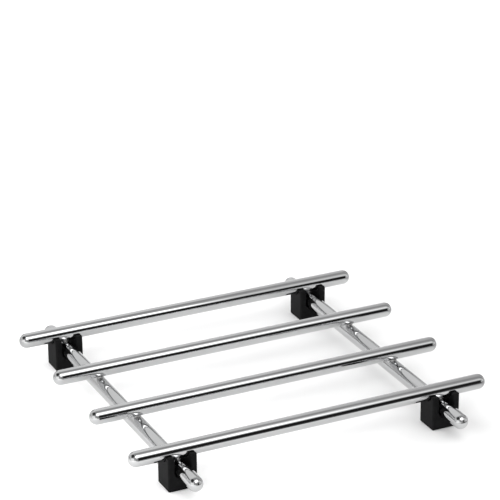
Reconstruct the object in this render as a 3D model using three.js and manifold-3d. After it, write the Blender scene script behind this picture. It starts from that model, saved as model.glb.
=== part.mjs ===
// Pot stand. Long round rods lie side by side across two crossbars and are welded to them.
// A moulded block foot is pushed up over each outer crossing and carries the stand.
// Millimetres. X runs along the long rods, +Y is the back, +Z is up, and the soles lie at zero.
import * as THREE from "three";
import { mergeVertices } from "three/addons/utils/BufferGeometryUtils.js";
import Module from "manifold-3d";

const wasm = await Module();
wasm.setup();

// Rods and crossbars
const rodDiameter = 8;
const rodPitch = 50;
const rodOverhang = 26; // from the axis of an outer crossbar to a rod's tip
const barDiameter = 8;
const barSpacing = 148;
const barOverhang = 25; // from the axis of an outer rod to a crossbar's tip

// Welds
const weldGap = 0.4; // daylight between a rod and a crossbar where they cross
const weldDiameter = 4;
const weldClearance = 0.1;

// Feet
const soleThickness = 6.2; // from the sole to the seat of the crossbar
const seatClearance = 0.3; // all round a crossbar or a rod in its seat
const sideWall = 3.5; // beside the crossbar
const endWall = 2.6; // before and behind the long rod
const postDrop = 0.4; // from the axis of the long rod down to the tops of the posts
const cornerRadius = 1.1; // upright corners
const rimRadius = 0.5; // edges of the top and of the sole
const leadIn = 0.5; // chamfer at the mouth of the crossbar's slot
const overrun = 2; // how far a cutting body runs past the faces that it leaves

// Counts
const rodNames = ["front", "inner_front", "inner_back", "back"];
const sideNames = ["left", "right"];
const endNames = ["front", "back"];
const roundSides = 32;
const domeRings = 6;
const weldSides = 24;
const cornerSteps = 4;
const rimSteps = 2;
const seatSteps = 16;

// Sizes that follow
const rodRadius = rodDiameter / 2;
const barRadius = barDiameter / 2;
const weldRadius = weldDiameter / 2;
const rodLength = barSpacing + 2 * rodOverhang;
const rowDepth = (rodNames.length - 1) * rodPitch;
const barLength = rowDepth + 2 * barOverhang;
const barAxisHeight = soleThickness + seatClearance + barRadius;
const barTopHeight = barAxisHeight + barRadius;
const rodAxisHeight = barTopHeight + weldGap + rodRadius;
const barSeatRadius = barRadius + seatClearance;
const rodSeatRadius = rodRadius + seatClearance;
const footWidth = 2 * (barSeatRadius + sideWall);
const footDepth = 2 * (rodSeatRadius + endWall);
const footHeight = rodAxisHeight - postDrop;

// Finishes
function chrome() {
  return new THREE.MeshStandardMaterial({ color: 0xdfe1e3, metalness: 1, roughness: 0.06 });
}

function weldMetal() {
  return new THREE.MeshStandardMaterial({ color: 0xb9bbbd, metalness: 1, roughness: 0.25 });
}

function blackPlastic() {
  return new THREE.MeshStandardMaterial({ color: 0x1c1c1d, metalness: 0, roughness: 0.5 });
}

// Places along the two rows
function rodPlace(index) {
  return index * rodPitch - rowDepth / 2;
}

function barPlace(index) {
  return index * barSpacing - barSpacing / 2;
}

function endPlace(index) {
  return rodPlace(index * (rodNames.length - 1));
}

// A closed geometry as a solid that can be cut
function solidFrom(geometry) {
  const bare = geometry.clone();
  bare.deleteAttribute("normal");
  bare.deleteAttribute("uv");
  const merged = mergeVertices(bare);
  const mesh = new wasm.Mesh({
    numProp: 3,
    vertProperties: new Float32Array(merged.attributes.position.array),
    triVerts: new Uint32Array(merged.index.array),
  });
  return new wasm.Manifold(mesh);
}

function geometryFrom(solid) {
  const mesh = solid.getMesh();
  const geometry = new THREE.BufferGeometry();
  geometry.setAttribute("position", new THREE.BufferAttribute(mesh.vertProperties, 3));
  geometry.setIndex(new THREE.BufferAttribute(mesh.triVerts, 1));
  geometry.computeVertexNormals();
  return geometry;
}

// A round rod along Y with a half ball at each end
function roundRod(length, radius) {
  const profile = [];
  for (let end = 0; end < 2; end++) {
    const centre = (end * 2 - 1) * (length / 2 - radius);
    for (let ring = 0; ring <= domeRings; ring++) {
      const angle = ((end - 1 + ring / domeRings) * Math.PI) / 2;
      profile.push(new THREE.Vector2(radius * Math.cos(angle), centre + radius * Math.sin(angle)));
    }
  }
  profile[0].x = 0;
  profile[profile.length - 1].x = 0;
  return new THREE.LatheGeometry(profile, roundSides);
}

function longRod(name, index) {
  const rod = new THREE.Mesh(roundRod(rodLength, rodRadius), chrome());
  rod.name = "long_rod_" + name;
  rod.position.set(0, rodPlace(index), rodAxisHeight);
  rod.rotation.z = -Math.PI / 2;
  return rod;
}

function crossbar(name, index) {
  const bar = new THREE.Mesh(roundRod(barLength, barRadius), chrome());
  bar.name = "crossbar_" + name;
  bar.position.set(barPlace(index), 0, barAxisHeight);
  return bar;
}

// How far a round surface has fallen away at this distance from its crest
function crestDrop(radius, distance) {
  return radius - Math.sqrt(radius * radius - distance * distance);
}

// A weld nugget around the origin: a round spot, hollowed below by the crossbar and above by the rod
function weldNugget() {
  const height = weldGap + crestDrop(barRadius, weldRadius) + crestDrop(rodRadius, weldRadius);
  const spot = new THREE.CylinderGeometry(weldRadius, weldRadius, height, weldSides);
  spot.rotateX(Math.PI / 2);
  const bar = roundRod(barLength, barRadius + weldClearance);
  bar.translate(0, 0, -barRadius - weldGap / 2);
  const rod = roundRod(rodLength, rodRadius + weldClearance);
  rod.rotateZ(-Math.PI / 2);
  rod.translate(0, 0, rodRadius + weldGap / 2);
  return geometryFrom(solidFrom(spot).subtract(solidFrom(bar)).subtract(solidFrom(rod)));
}

function weld(sideIndex, rodIndex, geometry) {
  const nugget = new THREE.Mesh(geometry, weldMetal());
  nugget.name = "weld_" + sideNames[sideIndex] + "_" + rodNames[rodIndex];
  nugget.position.set(barPlace(sideIndex), rodPlace(rodIndex), barTopHeight + weldGap / 2);
  return nugget;
}

// A rectangle around the origin with round corners
function roundedRectangle(width, depth, radius) {
  const x = width / 2 - radius;
  const y = depth / 2 - radius;
  const outline = new THREE.Shape();
  outline.absarc(x, -y, radius, -Math.PI / 2, 0);
  outline.absarc(x, y, radius, 0, Math.PI / 2);
  outline.absarc(-x, y, radius, Math.PI / 2, Math.PI);
  outline.absarc(-x, -y, radius, Math.PI, (3 * Math.PI) / 2);
  outline.closePath();
  return outline;
}

// The plain block of a foot, from its sole up, with its corners and rims rounded
function footBlock() {
  const inset = 2 * rimRadius;
  const outline = roundedRectangle(footWidth - inset, footDepth - inset, cornerRadius - rimRadius);
  const block = new THREE.ExtrudeGeometry(outline, {
    depth: footHeight - inset,
    bevelThickness: rimRadius,
    bevelSize: rimRadius,
    bevelSegments: rimSteps,
    curveSegments: cornerSteps,
  });
  block.translate(0, 0, rimRadius);
  return block;
}

// A straight channel along Y with a round floor, open upwards, its axis at the given height.
// Its mouth widens at the top of the foot.
function slotCutter(radius, axisHeight, length, chamfer) {
  const mouth = footHeight - axisHeight;
  const outline = new THREE.Shape();
  outline.moveTo(-radius - chamfer, mouth + overrun);
  outline.lineTo(-radius - chamfer, mouth);
  outline.lineTo(-radius, mouth - chamfer);
  outline.absarc(0, 0, radius, -Math.PI, 0);
  outline.lineTo(radius, mouth - chamfer);
  outline.lineTo(radius + chamfer, mouth);
  outline.lineTo(radius + chamfer, mouth + overrun);
  outline.closePath();
  const cutter = new THREE.ExtrudeGeometry(outline, {
    depth: length,
    bevelEnabled: false,
    curveSegments: seatSteps,
  });
  cutter.translate(0, 0, -length / 2);
  cutter.rotateX(Math.PI / 2);
  cutter.translate(0, 0, axisHeight);
  return cutter;
}

// A round seat along X for the long rod. The tops of the posts stop a little below its axis.
function rodSeatCutter() {
  const seat = roundRod(footWidth + 2 * (overrun + rodSeatRadius), rodSeatRadius);
  seat.rotateZ(-Math.PI / 2);
  seat.translate(0, 0, rodAxisHeight);
  return seat;
}

function footShape() {
  const slot = slotCutter(barSeatRadius, barAxisHeight, footDepth + 2 * overrun, leadIn);
  const block = solidFrom(footBlock());
  return geometryFrom(block.subtract(solidFrom(slot)).subtract(solidFrom(rodSeatCutter())));
}

function foot(sideIndex, endIndex, geometry) {
  const block = new THREE.Mesh(geometry, blackPlastic());
  block.name = "foot_" + endNames[endIndex] + "_" + sideNames[sideIndex];
  block.position.set(barPlace(sideIndex), endPlace(endIndex), 0);
  return block;
}

// The welded grid of rods and crossbars
function weldedGrid() {
  const grid = new THREE.Group();
  rodNames.forEach((name, index) => grid.add(longRod(name, index)));
  sideNames.forEach((name, index) => grid.add(crossbar(name, index)));
  const nugget = weldNugget();
  sideNames.forEach((side, sideIndex) => {
    rodNames.forEach((rod, rodIndex) => grid.add(weld(sideIndex, rodIndex, nugget)));
  });
  return grid;
}

function feet() {
  const set = new THREE.Group();
  const shape = footShape();
  sideNames.forEach((side, sideIndex) => {
    endNames.forEach((end, endIndex) => set.add(foot(sideIndex, endIndex, shape)));
  });
  return set;
}

const potStand = new THREE.Group();
potStand.add(weldedGrid());
potStand.add(feet());

export default potStand;
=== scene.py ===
"""Dresses the pot stand: chrome rods and crossbars, weld beads, black moulded feet, and a studio.

Metres. X runs along the long rods, +Y is the back, +Z is up, and the soles of the feet lie at zero.
"""
import sys

import logging
import math
from collections.abc import Iterable, Iterator
from dataclasses import dataclass, field
from enum import Enum, IntEnum

import bmesh
import bpy
from mathutils import Matrix, Vector


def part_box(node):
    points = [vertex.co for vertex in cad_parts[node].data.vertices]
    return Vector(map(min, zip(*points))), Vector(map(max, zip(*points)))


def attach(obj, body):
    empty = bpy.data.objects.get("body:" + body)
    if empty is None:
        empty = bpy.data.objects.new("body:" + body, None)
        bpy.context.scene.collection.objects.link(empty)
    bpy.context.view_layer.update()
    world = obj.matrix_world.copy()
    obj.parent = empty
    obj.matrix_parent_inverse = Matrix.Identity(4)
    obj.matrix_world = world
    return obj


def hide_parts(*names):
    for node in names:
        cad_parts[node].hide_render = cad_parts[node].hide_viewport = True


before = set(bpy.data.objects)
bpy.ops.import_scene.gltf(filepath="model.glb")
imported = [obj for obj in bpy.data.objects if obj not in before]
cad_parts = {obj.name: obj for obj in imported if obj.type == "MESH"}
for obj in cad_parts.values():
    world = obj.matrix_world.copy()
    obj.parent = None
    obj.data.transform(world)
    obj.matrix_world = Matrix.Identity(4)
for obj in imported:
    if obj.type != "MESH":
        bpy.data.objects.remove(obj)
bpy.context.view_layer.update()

log = logging.getLogger("pot_stand")

Point = tuple[float, float, float]
Colour = tuple[float, float, float, float]

WHITE: Colour = (1.0, 1.0, 1.0, 1.0)
MM = 0.001
MICRON = 0.000001
QUARTER_TURN = math.pi / 2
RIGHT_ANGLE_DEGREES = 90.0
MATRIX_SIZE = 4


class Axis(Enum):
    """The direction in which a rod runs, as the number of its coordinate."""

    X = 0
    Y = 1


class Side(Enum):
    """The left and right crossbars."""

    LEFT = "left"
    RIGHT = "right"


class Row(Enum):
    """The long rods, from the front to the back."""

    FRONT = "front"
    INNER_FRONT = "inner_front"
    INNER_BACK = "inner_back"
    BACK = "back"


class Socket(IntEnum):
    """The sockets of the mixing nodes, which go by number because some of them share a name."""

    FACTOR = 0
    FIRST_SHADER = 1
    SECOND_SHADER = 2
    FIRST_COLOUR = 6
    SECOND_COLOUR = 7


class Signal:
    """A value in a shader. Sums, products and the like of signals add Math nodes."""

    def __init__(self, sheet: "ShaderSheet", socket: bpy.types.NodeSocket) -> None:
        """Wraps one socket of a sheet."""
        self.sheet = sheet
        self.socket = socket

    def output(self, name: str) -> "Signal":
        """Gives another output of the same node."""
        return Signal(self.sheet, self.socket.node.outputs[name])

    def math(self, operation: str, *others: "Signal | float") -> "Signal":
        """Adds a Math node that works on this signal and on the values after it."""
        operands = dict(enumerate((self, *others)))
        return self.sheet.add("ShaderNodeMath", {"operation": operation}, operands)

    def __add__(self, other: "Signal | float") -> "Signal":
        """Adds."""
        return self.math("ADD", other)

    __radd__ = __add__

    def __mul__(self, other: "Signal | float") -> "Signal":
        """Multiplies."""
        return self.math("MULTIPLY", other)

    __rmul__ = __mul__

    def __sub__(self, other: "Signal | float") -> "Signal":
        """Takes away."""
        return self.math("SUBTRACT", other)

    def __rsub__(self, other: float) -> "Signal":
        """Is taken away from a number."""
        return -self + other

    def __neg__(self) -> "Signal":
        """Changes the sign."""
        return self.math("MULTIPLY", -1.0)

    def __abs__(self) -> "Signal":
        """Drops the sign."""
        return self.math("ABSOLUTE")

    def step(self, start: float, end: float) -> "Signal":
        """Rises smoothly from 0 to 1 between two values of this signal.

        Args:
            start: the value that gives 0.
            end: the value that gives 1, which may be the lower one.

        Returns:
            The share, from 0 to 1.
        """
        settings = {"interpolation_type": "SMOOTHSTEP"}
        inputs = {"Value": self, "From Min": start, "From Max": end}
        return self.sheet.add("ShaderNodeMapRange", settings, inputs)


Value = Signal | float | Point | Colour


def between(first: Signal | float, second: Signal | float, share: Signal) -> Signal:
    """Gives the first value where the share is 0 and the second where it is 1."""
    return first + (second - first) * share


class ShaderSheet:
    """The node tree of a material or of the world."""

    def __init__(self, tree: bpy.types.NodeTree) -> None:
        """Clears the tree."""
        self.tree = tree
        tree.nodes.clear()

    def add(
        self,
        kind: str,
        settings: dict[str, str] | None = None,
        inputs: dict[str | int, Value] | None = None,
    ) -> Signal:
        """Adds a node.

        Args:
            kind: the node's type.
            settings: the node's own properties, which are set first.
            inputs: a value or a signal for each named or numbered socket.

        Returns:
            The node's first output that is in use, or its first input where it has no output.
        """
        node = self.tree.nodes.new(kind)
        for name, value in (settings or {}).items():
            setattr(node, name, value)
        for name, value in (inputs or {}).items():
            if isinstance(value, Signal):
                self.tree.links.new(value.socket, node.inputs[name])
            else:
                node.inputs[name].default_value = value
        shown = [socket for socket in node.outputs if socket.enabled]
        return Signal(self, shown[0] if shown else node.inputs[0])

    def surface(self, inputs: dict[str | int, Value]) -> None:
        """Finishes a material with one Principled shader."""
        shader = self.add("ShaderNodeBsdfPrincipled", inputs=inputs)
        self.add("ShaderNodeOutputMaterial", inputs={"Surface": shader})

    def place(self) -> Signal:
        """Gives the place on the piece, in metres."""
        return self.add("ShaderNodeTexCoord").output("Object")

    def coordinates(self, vector: Signal) -> tuple[Signal, Signal, Signal]:
        """Splits a vector into its three coordinates."""
        right = self.add("ShaderNodeSeparateXYZ", inputs={"Vector": vector})
        return right, right.output("Y"), right.output("Z")

    def blend(self, share: Signal, first: Colour, second: Colour) -> Signal:
        """Blends two colours, the first where the share is 0 and the second where it is 1."""
        inputs = {Socket.FACTOR: share, Socket.FIRST_COLOUR: first, Socket.SECOND_COLOUR: second}
        return self.add("ShaderNodeMix", {"data_type": "RGBA"}, inputs)

    def mix_shaders(self, share: Signal, first: Signal, second: Signal) -> Signal:
        """Mixes two shaders, the first where the share is 0 and the second where it is 1."""
        inputs = {Socket.FACTOR: share, Socket.FIRST_SHADER: first, Socket.SECOND_SHADER: second}
        return self.add("ShaderNodeMixShader", inputs=inputs)

    def bump(self, height: Signal, depth: float, normal: Signal | None = None) -> Signal:
        """Roughens the surface.

        Args:
            height: the relief, about 0 to 1.
            depth: what 1 stands for, in metres.
            normal: the normal of an earlier relief.

        Returns:
            The new normal.
        """
        inputs = {"Height": height, "Distance": depth}
        if normal is not None:
            inputs["Normal"] = normal
        return self.add("ShaderNodeBump", inputs=inputs)


@dataclass(frozen=True)
class Pattern:
    """Soft noise on a surface, which can be drawn out along the piece and turned.

    It has so many lumps to a metre, and its layers say how many finer ones lie over them.
    """

    per_metre: float
    layers: float
    stretch: float = 1.0
    turn: float = 0.0

    def on(self, sheet: ShaderSheet, along: Axis = Axis.X) -> Signal:
        """Adds the pattern to a sheet.

        Args:
            sheet: the nodes of the finish.
            along: the direction in which the pattern is drawn out.

        Returns:
            The noise, about 0 to 1.
        """
        scale = [1.0, 1.0, 1.0]
        scale[along.value] = self.stretch
        turn = (0.0, 0.0, self.turn)
        mapping = {"Vector": sheet.place(), "Rotation": turn, "Scale": tuple(scale)}
        where = sheet.add("ShaderNodeMapping", inputs=mapping)
        noise = {"Vector": where, "Scale": self.per_metre, "Detail": self.layers}
        return sheet.add("ShaderNodeTexNoise", {"noise_dimensions": "3D"}, noise)


def grey(tone: float) -> Colour:
    """Gives an even grey."""
    return (tone, tone, tone, 1.0)


def new_material(name: str) -> tuple[bpy.types.Material, ShaderSheet]:
    """Makes a material.

    Args:
        name: its name.

    Returns:
        The material and its empty sheet.
    """
    material = bpy.data.materials.new(name)
    material.use_nodes = True
    return material, ShaderSheet(material.node_tree)


@dataclass(frozen=True)
class ChromePlate:
    """Bright chrome plate over drawn and polished rod, with patches of haze and a few hairlines."""

    along: Axis
    slot: str = "chrome"
    metallic: float = 1.0
    bright: Colour = (0.615, 0.618, 0.622, 1.0)
    dull: Colour = (0.575, 0.578, 0.583, 1.0)
    roughness: float = 0.045
    haze_roughness: float = 0.05
    haze: Pattern = Pattern(per_metre=45.0, layers=3.0)
    haze_start: float = 0.35
    haze_end: float = 0.75
    hairline_roughness: float = 0.05
    hairlines: Pattern = Pattern(per_metre=1500.0, layers=0.0, stretch=0.012, turn=0.35)
    hairline_start: float = 0.74
    hairline_end: float = 0.80
    drawing_lines: Pattern = Pattern(per_metre=2600.0, layers=2.0, stretch=0.04)
    drawing_line_depth: float = 0.5 * MICRON
    ripple: Pattern = Pattern(per_metre=420.0, layers=1.0, stretch=0.5)
    ripple_depth: float = 2.5 * MICRON

    def make(self) -> bpy.types.Material:
        """Makes the material.

        Returns:
            The chrome.
        """
        material, sheet = new_material(f"chrome_along_{self.along.name.lower()}")
        haze = self.haze.on(sheet).step(self.haze_start, self.haze_end)
        hairs = self.hairlines.on(sheet, self.along).step(self.hairline_start, self.hairline_end)
        scatter = haze * self.haze_roughness + hairs * self.hairline_roughness
        lines = self.drawing_lines.on(sheet, self.along)
        rippled = sheet.bump(self.ripple.on(sheet, self.along), self.ripple_depth)
        sheet.surface(
            {
                "Base Color": sheet.blend(haze, self.bright, self.dull),
                "Metallic": self.metallic,
                "Roughness": scatter + self.roughness,
                "Normal": sheet.bump(lines, self.drawing_line_depth, rippled),
            }
        )
        return material


@dataclass(frozen=True)
class WeldMetal:
    """Plated weld, lumpy and less bright than the rods."""

    slot: str = "weld"
    metallic: float = 1.0
    bright: Colour = (0.52, 0.52, 0.525, 1.0)
    dull: Colour = (0.34, 0.335, 0.33, 1.0)
    lumps: Pattern = Pattern(per_metre=1100.0, layers=4.0)
    lump_depth: float = 60.0 * MICRON
    bright_start: float = 0.35
    bright_end: float = 0.65
    smooth: float = 0.2
    rough: float = 0.2

    def make(self) -> bpy.types.Material:
        """Makes the material.

        Returns:
            The weld metal.
        """
        material, sheet = new_material("weld_metal")
        lumps = self.lumps.on(sheet)
        brightness = lumps.step(self.bright_start, self.bright_end)
        sheet.surface(
            {
                "Base Color": sheet.blend(brightness, self.dull, self.bright),
                "Metallic": self.metallic,
                "Roughness": lumps * self.rough + self.smooth,
                "Normal": sheet.bump(lumps, self.lump_depth),
            }
        )
        return material


@dataclass(frozen=True)
class MouldedPlastic:
    """Black plastic with the fine grain of a spark-eroded mould."""

    slot: str = "foot"
    deep: Colour = (0.0066, 0.0066, 0.0069, 1.0)
    worn: Colour = (0.0092, 0.0092, 0.0095, 1.0)
    grain: Pattern = Pattern(per_metre=5200.0, layers=2.0)
    grain_depth: float = 9.0 * MICRON
    clouds: Pattern = Pattern(per_metre=210.0, layers=3.0)
    worn_start: float = 0.35
    worn_end: float = 0.7
    smooth: float = 0.46
    rough: float = 0.16
    specular: float = 0.053

    def make(self) -> bpy.types.Material:
        """Makes the material.

        Returns:
            The black plastic.
        """
        material, sheet = new_material("black_plastic")
        grain = self.grain.on(sheet)
        clouds = self.clouds.on(sheet)
        wear = clouds.step(self.worn_start, self.worn_end)
        sheet.surface(
            {
                "Base Color": sheet.blend(wear, self.deep, self.worn),
                "Specular IOR Level": self.specular,
                "Roughness": clouds * self.rough + self.smooth,
                "Normal": sheet.bump(grain, self.grain_depth),
            }
        )
        return material


@dataclass(frozen=True)
class Slope:
    """A smooth change of tone across the floor, along a direction given by its shares of X and Y."""

    first: float
    last: float
    start: float
    end: float
    right_share: float = 1.0
    depth_share: float = 0.0

    def tone(self, right: Signal, depth: Signal) -> Signal:
        """Gives the tone at a place along X and Y: the first up to the start, the last past the end."""
        way = right * self.right_share + depth * self.depth_share
        return between(self.first, self.last, way.step(self.start, self.end))


@dataclass(frozen=True)
class PaperSweep:
    """White studio paper on a table.

    The camera sees pale paper, painted brighter than white on the left and grey on the right as if lit
    from the left. In the chrome and in the light it throws, the paper has painted shade on the right and
    at the back left, and the table shows in front of its edge, painted light on the left and painted
    shade on the right.
    """

    # Painted light: the paper tone the camera sees, above white at the left front and grey towards the
    # right.
    seen: Slope = Slope(first=1.08, last=0.83, start=-110.0 * MM, end=55.0 * MM, depth_share=0.4)
    # Painted light and shade: the paper tone for all rays but the camera's, which the chrome mirrors and
    # which lights the feet.
    mirrored: Slope = Slope(first=1.07, last=0.75, start=-270.0 * MM, end=-35.0 * MM, depth_share=0.4)
    # Painted shade towards the back left.
    back_shade: Slope = Slope(
        first=1.0, last=0.60, start=115.0 * MM, end=267.0 * MM, right_share=-1.0, depth_share=0.9
    )
    # Painted shade towards the right.
    right_shade: Slope = Slope(first=1.0, last=0.5, start=98.0 * MM, end=152.0 * MM, depth_share=-0.1)
    # Painted light and shade: the tone in front of the paper's edge, above white on the left and near
    # black on the right.
    painted_table: Slope = Slope(first=1.20, last=0.08, start=-330.0 * MM, end=22.0 * MM, depth_share=0.19)
    painted_table_share: Slope = Slope(
        first=1.0, last=0.0, start=-172.0 * MM, end=-150.0 * MM, right_share=0.0, depth_share=1.0
    )
    fibres: Pattern = Pattern(per_metre=900.0, layers=3.0)
    fibre_depth: float = 8.0 * MICRON
    roughness: float = 0.9
    specular: float = 0.0

    def make(self) -> bpy.types.Material:
        """Makes the material.

        Returns:
            The paper.
        """
        material, sheet = new_material("paper_with_painted_light")
        right, depth, _ = sheet.coordinates(sheet.place())
        # Painted shade on the paper that the chrome mirrors.
        shade = self.back_shade.tone(right, depth) * self.right_shade.tone(right, depth)
        paper = self.mirrored.tone(right, depth) * shade
        # Painted light and shade for the chrome to mirror, in front of the paper's edge.
        painted_table = self.painted_table.tone(right, depth)
        mirrored = between(paper, painted_table, self.painted_table_share.tone(right, depth))
        # Painted light and shade: the camera gets its own paper tone, and all other rays get the
        # mirrored paper and the table.
        seen = sheet.add("ShaderNodeLightPath").output("Is Camera Ray")
        sheet.surface(
            {
                "Base Color": between(mirrored, self.seen.tone(right, depth), seen),
                "Roughness": self.roughness,
                "Specular IOR Level": self.specular,
                "Normal": sheet.bump(self.fibres.on(sheet), self.fibre_depth),
            }
        )
        return material


def add_object(name: str, data: bpy.types.ID) -> bpy.types.Object:
    """Puts a mesh or a camera into the scene.

    Args:
        name: the object's name.
        data: the mesh or the camera.

    Returns:
        The object.
    """
    made = bpy.data.objects.new(name, data)
    bpy.context.scene.collection.objects.link(made)
    return made


def add_panel(name: str, outline: list[Point], material: bpy.types.Material) -> bpy.types.Object:
    """Puts one flat face into the scene.

    Args:
        name: the object's name.
        outline: the face's corners.
        material: its finish.

    Returns:
        The panel.
    """
    mesh = bpy.data.meshes.new(name)
    mesh.from_pydata(outline, [], [range(len(outline))])
    mesh.materials.append(material)
    return add_object(name, mesh)


def angles_round(sides: int) -> list[float]:
    """Gives the angles of evenly spaced corners round a circle."""
    return [math.tau * index / sides for index in range(sides)]


class MeshDraft:
    """The corners and faces of a piece while it is drawn up."""

    def __init__(self) -> None:
        """Starts with nothing."""
        self.points: list[Point] = []
        self.faces: list[tuple[int, ...]] = []

    def ring(self, points: Iterable[Point]) -> range:
        """Adds corners.

        Args:
            points: the places of the corners.

        Returns:
            The corners' numbers.
        """
        start = len(self.points)
        self.points.extend(points)
        return range(start, len(self.points))

    def skin(self, rings: list[range]) -> None:
        """Joins each closed ring to the next with quads.

        Args:
            rings: the numbers of each ring's corners, as many in each.
        """
        for first, second in zip(rings, rings[1:]):
            for index in range(len(first)):
                after = (index + 1) % len(first)
                self.faces.append((first[index], first[after], second[after], second[index]))

    def tip(self, ring: range, point: Point) -> None:
        """Closes a ring at a point with triangles.

        Args:
            ring: the numbers of the ring's corners.
            point: the tip.
        """
        (tip,) = self.ring([point])
        for index in range(len(ring)):
            self.faces.append((ring[index], ring[(index + 1) % len(ring)], tip))

    def lid(self, ring: range) -> None:
        """Closes a ring with one flat face."""
        self.faces.append(tuple(ring))

    def piece(self, name: str, node: str, material: bpy.types.Material) -> bpy.types.Object:
        """Makes the object and puts it in the frame in place of a node.

        Args:
            name: the object's name.
            node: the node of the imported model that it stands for.
            material: its finish.

        Returns:
            The object.
        """
        mesh = bpy.data.meshes.new(name)
        mesh.from_pydata(self.points, [], self.faces)
        shape = bmesh.new()
        shape.from_mesh(mesh)
        bmesh.ops.recalc_face_normals(shape, faces=shape.faces)
        shape.to_mesh(mesh)
        shape.free()
        mesh.shade_smooth()
        mesh.materials.append(material)
        made = add_object(name, mesh)
        evened = made.modifiers.new("even_normals", "WEIGHTED_NORMAL")
        evened.keep_sharp = True
        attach(made, "root")
        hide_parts(node)
        log.info("%s: %d corners, %d faces, for %s", name, len(self.points), len(self.faces), node)
        return made


@dataclass
class RoundRod:
    """A round rod with a half ball at each end, as long and thick as its node."""

    node: str
    along: Axis
    sides: int = 96
    dome_rings: int = 24
    low: Vector = field(init=False)
    high: Vector = field(init=False)

    def __post_init__(self) -> None:
        """Reads the node's box."""
        self.low, self.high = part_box(self.node)

    @property
    def radius(self) -> float:
        """Half the thickness."""
        return (self.high.z - self.low.z) / 2

    @property
    def centre(self) -> Vector:
        """The middle of the rod."""
        return (self.low + self.high) / 2

    @property
    def length(self) -> float:
        """The length from tip to tip."""
        return (self.high - self.low)[self.along.value]

    def point(self, place: float, radius: float, angle: float) -> Point:
        """Gives a point of the surface.

        Args:
            place: how far it lies from the middle, along the rod.
            radius: how far it lies from the axis.
            angle: how far round it lies.

        Returns:
            The point.
        """
        across = 1 - self.along.value
        spot = self.centre
        spot[self.along.value] += place
        spot[across] += radius * math.cos(angle)
        spot.z += radius * math.sin(angle)
        return tuple(spot)

    def rings(self) -> Iterator[tuple[float, float]]:
        """Works out the rings from the low end to the high end, without the tips.

        Returns:
            The place and the radius of each ring.
        """
        straight = self.length / 2 - self.radius
        for end in (-1, 1):
            for index in range(self.dome_rings):
                rise = (index if end > 0 else index + 1 - self.dome_rings) / self.dome_rings
                angle = rise * QUARTER_TURN
                yield end * straight + self.radius * math.sin(angle), self.radius * math.cos(angle)

    def build(self, name: str, finish: ChromePlate, material: bpy.types.Material) -> bpy.types.Object:
        """Builds the rod.

        Args:
            name: the piece's name.
            finish: the chrome; not used.
            material: the chrome's material.

        Returns:
            The rod.
        """
        draft = MeshDraft()
        turns = angles_round(self.sides)
        rings = [
            draft.ring(self.point(place, radius, turn) for turn in turns)
            for place, radius in self.rings()
        ]
        draft.skin(rings)
        draft.tip(rings[0], self.point(-self.length / 2, 0.0, 0.0))
        draft.tip(rings[-1], self.point(self.length / 2, 0.0, 0.0))
        return draft.piece(name, self.node, material)


@dataclass
class WeldBead:
    """The metal fused between a long rod and a crossbar where they cross, with an uneven edge."""

    rod: RoundRod
    bar: RoundRod
    radius: float = 1.75 * MM
    bulge: float = 0.25 * MM
    unevenness: float = 0.09 * MM
    narrow_lobes: int = 5
    wide_lobes: int = 3
    sink: float = 0.12 * MM
    sides: int = 48
    levels: int = 8

    def edge(self, angle: float, rise: float) -> float:
        """Gives the bead's radius.

        Args:
            angle: how far round.
            rise: 0 at the crossbar and 1 at the rod.

        Returns:
            The radius.
        """
        phase = self.rod.centre.y / self.bar.radius + self.bar.centre.x / self.rod.radius
        wobble = math.sin(self.narrow_lobes * angle + phase) + math.sin(self.wide_lobes * angle - phase)
        return self.radius + self.bulge * math.sin(math.pi * rise) + self.unevenness * wobble / 2

    def point(self, angle: float, rise: float) -> Point:
        """Gives a point of the bead's side.

        Args:
            angle: how far round.
            rise: 0 at the crossbar and 1 at the rod.

        Returns:
            The point.
        """
        reach = self.edge(angle, rise)
        x = reach * math.cos(angle)
        y = reach * math.sin(angle)
        foot = self.bar.centre.z + math.sqrt(self.bar.radius**2 - x**2) - self.sink
        head = self.rod.centre.z - math.sqrt(self.rod.radius**2 - y**2) + self.sink
        return self.bar.centre.x + x, self.rod.centre.y + y, foot + (head - foot) * rise

    def build(self, name: str, finish: WeldMetal, material: bpy.types.Material) -> bpy.types.Object:
        """Builds the bead.

        Args:
            name: the node's name, from which the piece's name is made.
            finish: the weld metal; not used.
            material: its material.

        Returns:
            The bead.
        """
        draft = MeshDraft()
        turns = angles_round(self.sides)
        rises = [index / self.levels for index in range(self.levels + 1)]
        rings = [draft.ring(self.point(turn, rise) for turn in turns) for rise in rises]
        draft.skin(rings)
        x, y = self.bar.centre.x, self.rod.centre.y
        draft.tip(rings[0], (x, y, self.bar.high.z - self.sink))
        draft.tip(rings[-1], (x, y, self.rod.low.z + self.sink))
        return draft.piece(f"{name}_bead", name, material)


@dataclass
class Station:
    """A cross-section of a foot, square to the crossbar. Its place counts from the long rod's axis."""

    place: float
    top: float
    half_width: float
    inset: float = 0.0


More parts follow.
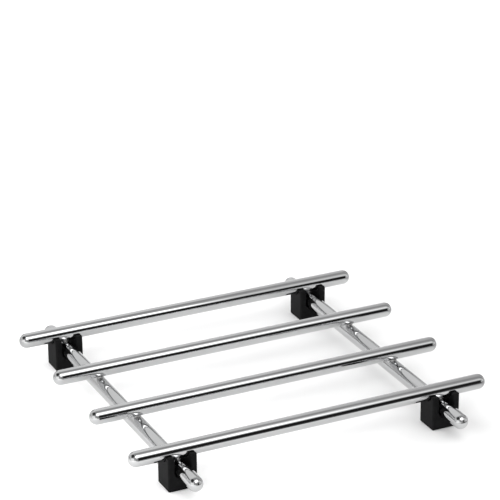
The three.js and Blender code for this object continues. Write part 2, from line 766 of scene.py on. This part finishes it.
@dataclass
class MouldedFoot:
    """A block foot with a slot for the crossbar and a round seat for the long rod."""

    node: str
    rod: RoundRod
    bar: RoundRod
    clearance: float = 0.3 * MM
    corner_radius: float = 1.1 * MM
    rim_radius: float = 0.7 * MM
    sole_radius: float = 0.5 * MM
    mouth_radius: float = 0.6 * MM
    seat_edge_radius: float = 0.4 * MM
    bend_steps: int = 5
    floor_steps: int = 40
    corner_steps: int = 10
    seat_steps: int = 22
    low: Vector = field(init=False)
    high: Vector = field(init=False)

    def __post_init__(self) -> None:
        """Reads the node's box."""
        self.low, self.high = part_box(self.node)

    @property
    def half_width(self) -> float:
        """Half the size along the long rod."""
        return (self.high.x - self.low.x) / 2

    @property
    def half_depth(self) -> float:
        """Half the size along the crossbar."""
        return (self.high.y - self.low.y) / 2

    def stations(self) -> list[Station]:
        """Works out the cross-sections from the front to the back.

        Returns:
            The cross-sections. The front half mirrors the back half.
        """
        back = [*self.seat(), *self.seat_edge(), *self.corner()]
        front = [Station(-each.place, each.top, each.half_width, each.inset) for each in back[:0:-1]]
        return front + back

    def seat(self) -> Iterator[Station]:
        """Works out the cross-sections along the round seat.

        Returns:
            The cross-sections, from the seat's lowest line outwards.
        """
        radius = self.rod.radius + self.clearance
        _, lift = self.seat_edge_centre()
        last = math.acos(-lift / (radius + self.seat_edge_radius))
        for index in range(self.seat_steps + 1):
            angle = last * index / self.seat_steps
            top = self.rod.centre.z - radius * math.cos(angle)
            yield Station(radius * math.sin(angle), top, self.half_width)

    def seat_edge_centre(self) -> tuple[float, float]:
        """Finds the centre of the rounding between the seat and the posts' tops.

        Returns:
            How far behind the rod's axis and how far over it the centre lies.
        """
        lift = self.high.z - self.seat_edge_radius - self.rod.centre.z
        reach = self.rod.radius + self.clearance + self.seat_edge_radius
        return math.sqrt(reach**2 - lift**2), lift

    def seat_edge(self) -> Iterator[Station]:
        """Works out the cross-sections over the rounding between the seat and the posts' tops.

        Returns:
            The cross-sections, from the seat outwards.
        """
        place, lift = self.seat_edge_centre()
        start = math.atan2(-lift, -place)
        for index in range(1, self.bend_steps + 1):
            angle = start + (QUARTER_TURN - start) * index / self.bend_steps
            y = place + self.seat_edge_radius * math.cos(angle)
            z = self.rod.centre.z + lift + self.seat_edge_radius * math.sin(angle)
            yield Station(y, z, self.half_width)

    def corner(self) -> Iterator[Station]:
        """Works out the cross-sections over the upright corners.

        Returns:
            The cross-sections, out to the end face.
        """
        for index in range(self.corner_steps + 1):
            angle = QUARTER_TURN * index / self.corner_steps
            place = self.half_depth - self.corner_radius * (1 - math.sin(angle))
            narrowing = self.corner_radius * (1 - math.cos(angle))
            past = max(0.0, place - self.half_depth + self.rim_radius)
            inset = self.rim_radius - math.sqrt(self.rim_radius**2 - past**2)
            yield Station(place, self.high.z, self.half_width - narrowing, inset)

    def bend(self, x: float, z: float, radius: float, start: float) -> Iterator[tuple[float, float]]:
        """Works out a quarter turn of an outline.

        Args:
            x: the centre's place across the foot.
            z: the centre's height.
            radius: the radius.
            start: the angle at which it starts, in quarter turns.

        Returns:
            Points across and up.
        """
        for index in range(self.bend_steps + 1):
            angle = (start + index / self.bend_steps) * QUARTER_TURN
            yield x + radius * math.cos(angle), z + radius * math.sin(angle)

    def right_half(self, station: Station) -> list[tuple[float, float]]:
        """Works out the right half of a cross-section, from the sole round to the slot's lowest point.

        Args:
            station: the cross-section.

        Returns:
            Points across and up.
        """
        inset = station.inset
        top = station.top - inset
        width = station.half_width
        slot = self.bar.radius + self.clearance + inset
        sole = self.sole_radius
        rim = self.rim_radius
        mouth = self.mouth_radius
        outline = [(0.0, inset)]
        outline += self.bend(width - sole, inset + sole, sole, -1)
        outline += self.bend(width - rim, top - rim, rim, 0)
        outline += self.bend(slot + mouth, top - mouth, mouth, 1)
        for index in range(self.floor_steps + 1):
            angle = -QUARTER_TURN * index / self.floor_steps
            outline.append((slot * math.cos(angle), self.bar.centre.z + slot * math.sin(angle)))
        return outline

    def outline(self, station: Station) -> list[Point]:
        """Works out a whole cross-section in the frame.

        Args:
            station: the cross-section.

        Returns:
            Its corners, all the way round.
        """
        right = self.right_half(station)
        left = [(-x, z) for x, z in right[-2:0:-1]]
        y = self.rod.centre.y + station.place
        return [(self.bar.centre.x + x, y, z) for x, z in right + left]

    def build(self, name: str, finish: MouldedPlastic, material: bpy.types.Material) -> bpy.types.Object:
        """Builds the foot.

        Args:
            name: the piece's name.
            finish: the plastic; not used.
            material: its material.

        Returns:
            The foot.
        """
        draft = MeshDraft()
        rings = [draft.ring(self.outline(station)) for station in self.stations()]
        draft.skin(rings)
        draft.lid(rings[0])
        draft.lid(rings[-1])
        return draft.piece(name, self.node, material)


@dataclass
class WeldedGrid:
    """The long rods, the crossbars and the beads that join them."""

    rods: dict[Row, RoundRod] = field(init=False)
    bars: dict[Side, RoundRod] = field(init=False)

    def __post_init__(self) -> None:
        """Takes each rod from its node."""
        self.rods = {row: RoundRod(f"long_rod_{row.value}", Axis.X) for row in Row}
        self.bars = {side: RoundRod(f"crossbar_{side.value}", Axis.Y) for side in Side}

    def build(self) -> None:
        """Builds the rods, the crossbars and the beads."""
        for rods, along in ((self.rods, Axis.X), (self.bars, Axis.Y)):
            finish = ChromePlate(along)
            material = finish.make()
            for rod in rods.values():
                rod.build(f"{rod.node}_chromed", finish, material)
        weld = WeldMetal()
        weld_material = weld.make()
        for side, bar in self.bars.items():
            for row, rod in self.rods.items():
                WeldBead(rod, bar).build(f"weld_{side.value}_{row.value}", weld, weld_material)


@dataclass
class FootSet:
    """The feet under the outer crossings."""

    grid: WeldedGrid
    rows: tuple[Row, Row] = (Row.FRONT, Row.BACK)

    def build(self) -> None:
        """Builds the feet."""
        finish = MouldedPlastic()
        material = finish.make()
        for row in self.rows:
            for side, bar in self.grid.bars.items():
                node = f"foot_{row.value}_{side.value}"
                foot = MouldedFoot(node, self.grid.rods[row], bar)
                foot.build(f"{node}_moulded", finish, material)


class Guide(Enum):
    """The pair of angles that a card's edges follow, in degrees.

    Round the long rods, the sweep is 0 at the front horizon, 90 overhead and 180 at the back horizon,
    and the reach is the angle by which a direction leans to the right. Level edges follow the height
    over the horizon and the heading, which is 0 at the back, 90 at the right and 180 at the front.
    """

    ROD = "sweep and reach"
    LEVEL = "height and heading"


Angles = dict[Guide, tuple[Signal, Signal]]


@dataclass(frozen=True)
class Span:
    """A range of angles in degrees with soft ends. A fade reaches as far inside an end as outside."""

    start: float
    end: float
    fade: float
    end_fade: float | None = None

    def share(self, angle: Signal) -> Signal:
        """Tells where an angle lies in the range.

        Args:
            angle: the angle of each direction.

        Returns:
            1 inside the range and 0 outside it.
        """
        end_fade = self.fade if self.end_fade is None else self.end_fade
        after_start = angle.step(self.start - self.fade, self.start + self.fade)
        before_end = angle.step(self.end + end_fade, self.end - end_fade)
        return after_start * before_end


@dataclass(frozen=True)
class Card:
    """A wall, a softbox, a reflector or a black card, as the part of the surroundings that it covers.

    Its rise is a span of the sweep or the height, and its turn is a span of the reach or the heading.
    """

    name: str
    guide: Guide
    tone: float
    rise: Span
    turn: Span

    def share(self, rise: Signal, turn: Signal) -> Signal:
        """Gives 1 on the card and 0 off it, with soft edges."""
        return self.rise.share(rise) * self.turn.share(turn)


@dataclass(frozen=True)
class Flag:
    """A grey card that hangs close over the back bay, where the back rod mirrors it.

    It glows with its own grey and shows only in the chrome, as a painted reflection that hides the
    softbox from the right part of that rod. Its left edge leans to the left as it rises.
    """

    place: float = 50.0 * MM
    left: float = -60.0 * MM
    right: float = 300.0 * MM
    bottom: float = 38.0 * MM
    top: float = 260.0 * MM
    low_tone: float = 0.85
    high_tone: float = 0.43
    low_end: float = 55.0 * MM
    high_start: float = 110.0 * MM
    lean: float = 0.87
    edge: float = 70.0 * MM
    edge_fade: float = 26.0 * MM

    def material(self) -> bpy.types.Material:
        """Makes the flag's material, which is clear from the front.

        Returns:
            The material.
        """
        material, sheet = new_material("glowing_flag")
        right, _, up = sheet.coordinates(sheet.place())
        height = up.step(self.low_end, self.high_start)
        tone = sheet.blend(height, grey(self.low_tone), grey(self.high_tone))
        way = right + up * self.lean
        past_edge = way.step(self.edge - self.edge_fade, self.edge + self.edge_fade)
        from_front = sheet.add("ShaderNodeNewGeometry").output("Backfacing")
        clear = sheet.add("ShaderNodeBsdfTransparent")
        # Painted reflection: the panel glows with its own grey, lighter low down, and is not lit.
        card = sheet.add("ShaderNodeEmission", inputs={"Color": tone})
        surface = sheet.mix_shaders(past_edge * (1.0 - from_front), clear, card)
        sheet.add("ShaderNodeOutputMaterial", inputs={"Surface": surface})
        return material

    def build(self) -> None:
        """Hangs the flag where only chrome can see it."""
        outline = [
            (self.right, self.place, self.bottom),
            (self.left, self.place, self.bottom),
            (self.left, self.place, self.top),
            (self.right, self.place, self.top),
        ]
        flag = add_panel("flag", outline, self.material())
        flag.visible_camera = False
        flag.visible_diffuse = False
        flag.visible_shadow = False
        log.info("flag: %.0f mm over the floor", self.bottom / MM)


@dataclass
class Studio:
    """A pale floor and soft light from all round.

    The chrome mirrors walls under a darker ceiling, with the mirrored cards in front of them. Matt
    surfaces are lit by the fill light and the lamps. A card hides those that its list names before it.
    """

    floor_half_size: float = 3.0
    horizon_tone: float = 0.88
    ceiling_tone: float = 0.36
    ceiling_start: float = 52.0
    ceiling_end: float = 75.0
    backdrop_tone: float = 1.0
    fill_light: float = 1.25
    mirrored: tuple[Card, ...] = (
        Card(
            "left wall",
            Guide.ROD,
            tone=1.35,
            rise=Span(-20.0, 24.0, fade=4.0),
            turn=Span(-100.0, -14.0, fade=4.0),
        ),
        Card(
            "front wall",
            Guide.ROD,
            tone=0.32,
            rise=Span(-20.0, 29.0, fade=4.0, end_fade=6.0),
            turn=Span(-20.0, 19.0, fade=4.0),
        ),
        Card(
            "reflector",
            Guide.LEVEL,
            tone=1.30,
            rise=Span(-20.0, 30.0, fade=4.0),
            turn=Span(-153.0, -87.0, fade=3.0),
        ),
        Card(
            "small dark card",
            Guide.ROD,
            tone=0.40,
            rise=Span(9.0, 56.0, fade=3.0, end_fade=5.0),
            turn=Span(-41.0, -17.5, fade=2.5),
        ),
        Card(
            "right wall",
            Guide.ROD,
            tone=0.58,
            rise=Span(-20.0, 42.5, fade=4.0),
            turn=Span(20.0, 57.0, fade=10.0),
        ),
        Card(
            "black card",
            Guide.ROD,
            tone=0.015,
            rise=Span(-25.0, 37.5, fade=4.0, end_fade=6.5),
            turn=Span(13.5, 32.0, fade=2.0),
        ),
        Card(
            "softbox",
            Guide.ROD,
            tone=6.0,
            rise=Span(48.0, 71.0, fade=9.0),
            turn=Span(-13.0, 14.0, fade=8.0),
        ),
        Card(
            "side softbox",
            Guide.ROD,
            tone=3.0,
            rise=Span(47.0, 71.5, fade=10.0, end_fade=22.0),
            turn=Span(8.0, 24.2, fade=5.2),
        ),
        Card(
            "wall corner",
            Guide.LEVEL,
            tone=0.60,
            rise=Span(-100.0, 100.0, fade=6.0),
            turn=Span(-36.4, -29.2, fade=6.0),
        ),
        Card(
            "left dark card",
            Guide.LEVEL,
            tone=0.03,
            rise=Span(33.5, 71.0, fade=11.0, end_fade=2.0),
            turn=Span(-117.0, -41.0, fade=14.0),
        ),
        Card(
            "back wall",
            Guide.ROD,
            tone=0.54,
            rise=Span(102.0, 159.0, fade=6.0),
            turn=Span(25.0, 72.0, fade=6.0),
        ),
        Card(
            "back black card",
            Guide.ROD,
            tone=0.06,
            rise=Span(159.0, 176.5, fade=4.0, end_fade=2.5),
            turn=Span(-7.0, 7.0, fade=3.0),
        ),
        Card(
            "back left grey card",
            Guide.ROD,
            tone=0.40,
            rise=Span(152.0, 176.5, fade=5.0, end_fade=2.5),
            turn=Span(-64.0, -39.0, fade=3.0),
        ),
        Card(
            "back right black card",
            Guide.ROD,
            tone=0.02,
            rise=Span(152.0, 176.5, fade=5.0, end_fade=2.5),
            turn=Span(39.0, 64.0, fade=3.0),
        ),
    )
    lamps: tuple[Card, ...] = (
        Card(
            "right wall",
            Guide.LEVEL,
            tone=1.75,
            rise=Span(-20.0, 45.0, fade=4.0, end_fade=10.0),
            turn=Span(35.0, 150.0, fade=12.0),
        ),
        Card(
            "left wall",
            Guide.LEVEL,
            tone=2.9,
            rise=Span(-20.0, 45.0, fade=4.0, end_fade=10.0),
            turn=Span(-150.0, -30.0, fade=10.0),
        ),
        Card(
            "front dark card",
            Guide.ROD,
            tone=0.30,
            rise=Span(12.0, 40.0, fade=4.0),
            turn=Span(-33.0, 53.0, fade=3.0),
        ),
        Card(
            "reflector",
            Guide.LEVEL,
            tone=2.9,
            rise=Span(-20.0, 20.0, fade=4.0),
            turn=Span(-153.0, -97.0, fade=3.0),
        ),
        Card(
            "black card",
            Guide.ROD,
            tone=0.02,
            rise=Span(-10.0, 41.0, fade=4.0),
            turn=Span(3.0, 44.0, fade=3.0),
        ),
        Card(
            "softbox",
            Guide.ROD,
            tone=2.4,
            rise=Span(46.0, 74.0, fade=3.0, end_fade=5.0),
            turn=Span(-25.0, 23.3, fade=5.6),
        ),
        Card(
            "left dark card",
            Guide.LEVEL,
            tone=0.02,
            rise=Span(42.0, 70.0, fade=4.0),
            turn=Span(-138.0, -55.0, fade=3.0),
        ),
    )

    def build(self) -> None:
        """Sets up the studio."""
        self.build_floor()
        self.light_world()
        Flag().build()
        bpy.context.scene.view_settings.view_transform = "Standard"

    def build_floor(self) -> None:
        """Lays the floor."""
        size = self.floor_half_size
        outline = [(-size, -size, 0.0), (size, -size, 0.0), (size, size, 0.0), (-size, size, 0.0)]
        floor = add_panel("floor", outline, PaperSweep().make())
        log.info("floor: a sweep of paper, %.1f m square", 2 * size)

    @staticmethod
    def angles(right: Signal, back: Signal, up: Signal) -> Angles:
        """Works out the angles of each direction, in degrees.

        Args:
            right: how far the direction points to the right.
            back: how far it points to the back.
            up: how far it points up.

        Returns:
            The pair of angles for each guide.
        """
        sweep = up.math("ARCTAN2", -back).math("DEGREES")
        reach = right.math("ARCSINE").math("DEGREES")
        height = up.math("ARCSINE").math("DEGREES")
        heading = right.math("ARCTAN2", back).math("DEGREES")
        return {Guide.ROD: (sweep, reach), Guide.LEVEL: (height, heading)}

    @staticmethod
    def hang(cards: tuple[Card, ...], wall: Signal | float, angles: Angles) -> Signal:
        """Hangs cards in front of a wall, each in front of those before it.

        Args:
            cards: the cards.
            wall: the tone behind them.
            angles: the pair of angles for each guide.

        Returns:
            The tone of each direction.
        """
        tone = wall
        for card in cards:
            tone = between(tone, card.tone, card.share(*angles[card.guide]))
        return tone

    def light_world(self) -> None:
        """Lights the scene from all round, with other tones for the camera, the chrome and the rest."""
        world = bpy.data.worlds.new("studio")
        bpy.context.scene.world = world
        world.use_nodes = True
        sheet = ShaderSheet(world.node_tree)
        direction = sheet.add("ShaderNodeTexCoord").output("Generated")
        angles = self.angles(*sheet.coordinates(direction))
        sweep, _ = angles[Guide.ROD]
        height = RIGHT_ANGLE_DEGREES - abs(sweep - RIGHT_ANGLE_DEGREES)
        overhead = height.step(self.ceiling_start, self.ceiling_end)
        walls = between(self.horizon_tone, self.ceiling_tone, overhead)
        tone = self.hang(self.mirrored, walls, angles)
        light = self.hang(self.lamps, self.fill_light, angles)
        ray = sheet.add("ShaderNodeLightPath")
        plain = between(light, self.backdrop_tone, ray.output("Is Camera Ray"))
        strength = between(plain, tone, ray.output("Is Glossy Ray"))
        background = sheet.add("ShaderNodeBackground", inputs={"Color": WHITE, "Strength": strength})
        sheet.add("ShaderNodeOutputWorld", inputs={"Surface": background})
        log.info("studio: %d cards and %d lamps", len(self.mirrored), len(self.lamps))


@dataclass
class StudioCamera:
    """The camera where the photograph was taken from, with no shift or blur. Angles are in degrees."""

    place: Point = (-0.474186, -0.996638, 0.552148)
    heading: float = 25.535
    tilt: float = 23.053
    roll: float = 0.336
    lens: float = 166.785
    sensor: float = 36.0

    @staticmethod
    def rotation(angle: float, axis: str) -> Matrix:
        """Gives a turn about an axis."""
        return Matrix.Rotation(math.radians(angle), MATRIX_SIZE, axis)

    def build(self) -> None:
        """Makes the camera."""
        data = bpy.data.cameras.new("camera")
        data.sensor_width = self.sensor
        data.lens = self.lens
        camera = add_object("camera", data)
        turn = self.rotation(-self.heading, "Z")
        lift = self.rotation(RIGHT_ANGLE_DEGREES - self.tilt, "X")
        lean = self.rotation(-self.roll, "Z")
        camera.matrix_world = Matrix.Translation(self.place) @ turn @ lift @ lean
        bpy.context.scene.camera = camera
        log.info("camera: %.0f mm lens", self.lens)


def main() -> None:
    """Builds the stand and its studio."""
    logging.basicConfig(level=logging.INFO, format="%(message)s", stream=sys.stdout)
    StudioCamera().build()
    grid = WeldedGrid()
    grid.build()
    FootSet(grid).build()
    Studio().build()


if __name__ == "__main__":
    main()
